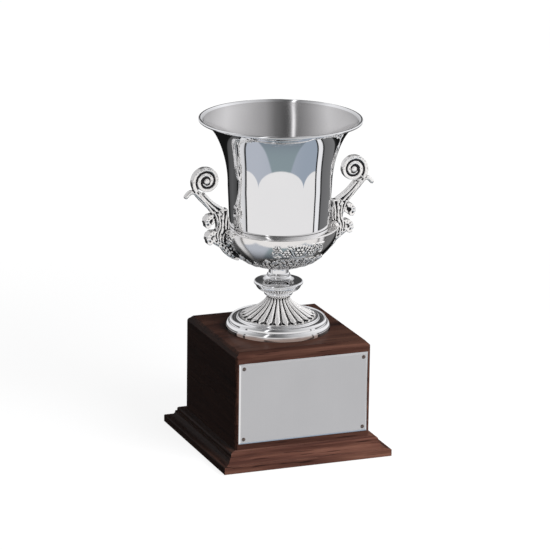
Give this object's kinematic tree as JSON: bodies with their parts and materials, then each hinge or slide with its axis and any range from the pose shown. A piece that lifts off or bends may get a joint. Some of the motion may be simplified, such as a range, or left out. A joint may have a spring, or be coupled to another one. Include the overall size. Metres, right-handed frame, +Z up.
{
  "type": "cup trophy",
  "caption": "Silver two-handled cup with a flared mouth, leafy calyx and fluted foot, bolted to a square walnut base on a moulded plinth with a blank engraving plate.",
  "frame": {"origin": "middle of the felt's underside, on the surface that the trophy stands on", "axes": "+Z up, the engraving plate faces -Y, the handles lie along +X and -X"},
  "size_m": [0.2164, 0.189, 0.3551],
  "materials": {
    "polished_silver": "silver plate, mirror polished",
    "satin_silver": "satin, fine vertical brushing, bright bevel",
    "nail_silver": "bright round heads",
    "zinc_steel": "zinc plated",
    "walnut": "dark walnut, satin lacquer",
    "plain_wood": "unfinished",
    "felt": "short pile felt"
  },
  "bodies": {
    "root": {"bowl": "polished_silver", "calyx": "polished_silver", "leaf_spray_front": "polished_silver", "leaf_spray_back": "polished_silver", "handle_left": "polished_silver", "handle_right": "polished_silver", "stem_neck": "polished_silver", "knop": "polished_silver", "collar_ring": "polished_silver", "foot_trumpet": "polished_silver", "foot_rim": "polished_silver", "engraving_plate": "satin_silver", "plate_nails": "nail_silver", "bowl_boss": "zinc_steel", "tie_rod": "zinc_steel", "rod_washer": "zinc_steel", "rod_nut": "zinc_steel", "plinth_screws": "zinc_steel", "board_screws": "zinc_steel", "wall_front": "walnut", "wall_back": "walnut", "wall_left": "walnut", "wall_right": "walnut", "top_board": "walnut", "plinth_front": "walnut", "plinth_back": "walnut", "plinth_left": "walnut", "plinth_right": "walnut", "glue_blocks": "plain_wood", "bottom_board": "plain_wood", "felt_pad": "felt"}
  },
  "joints": []
}
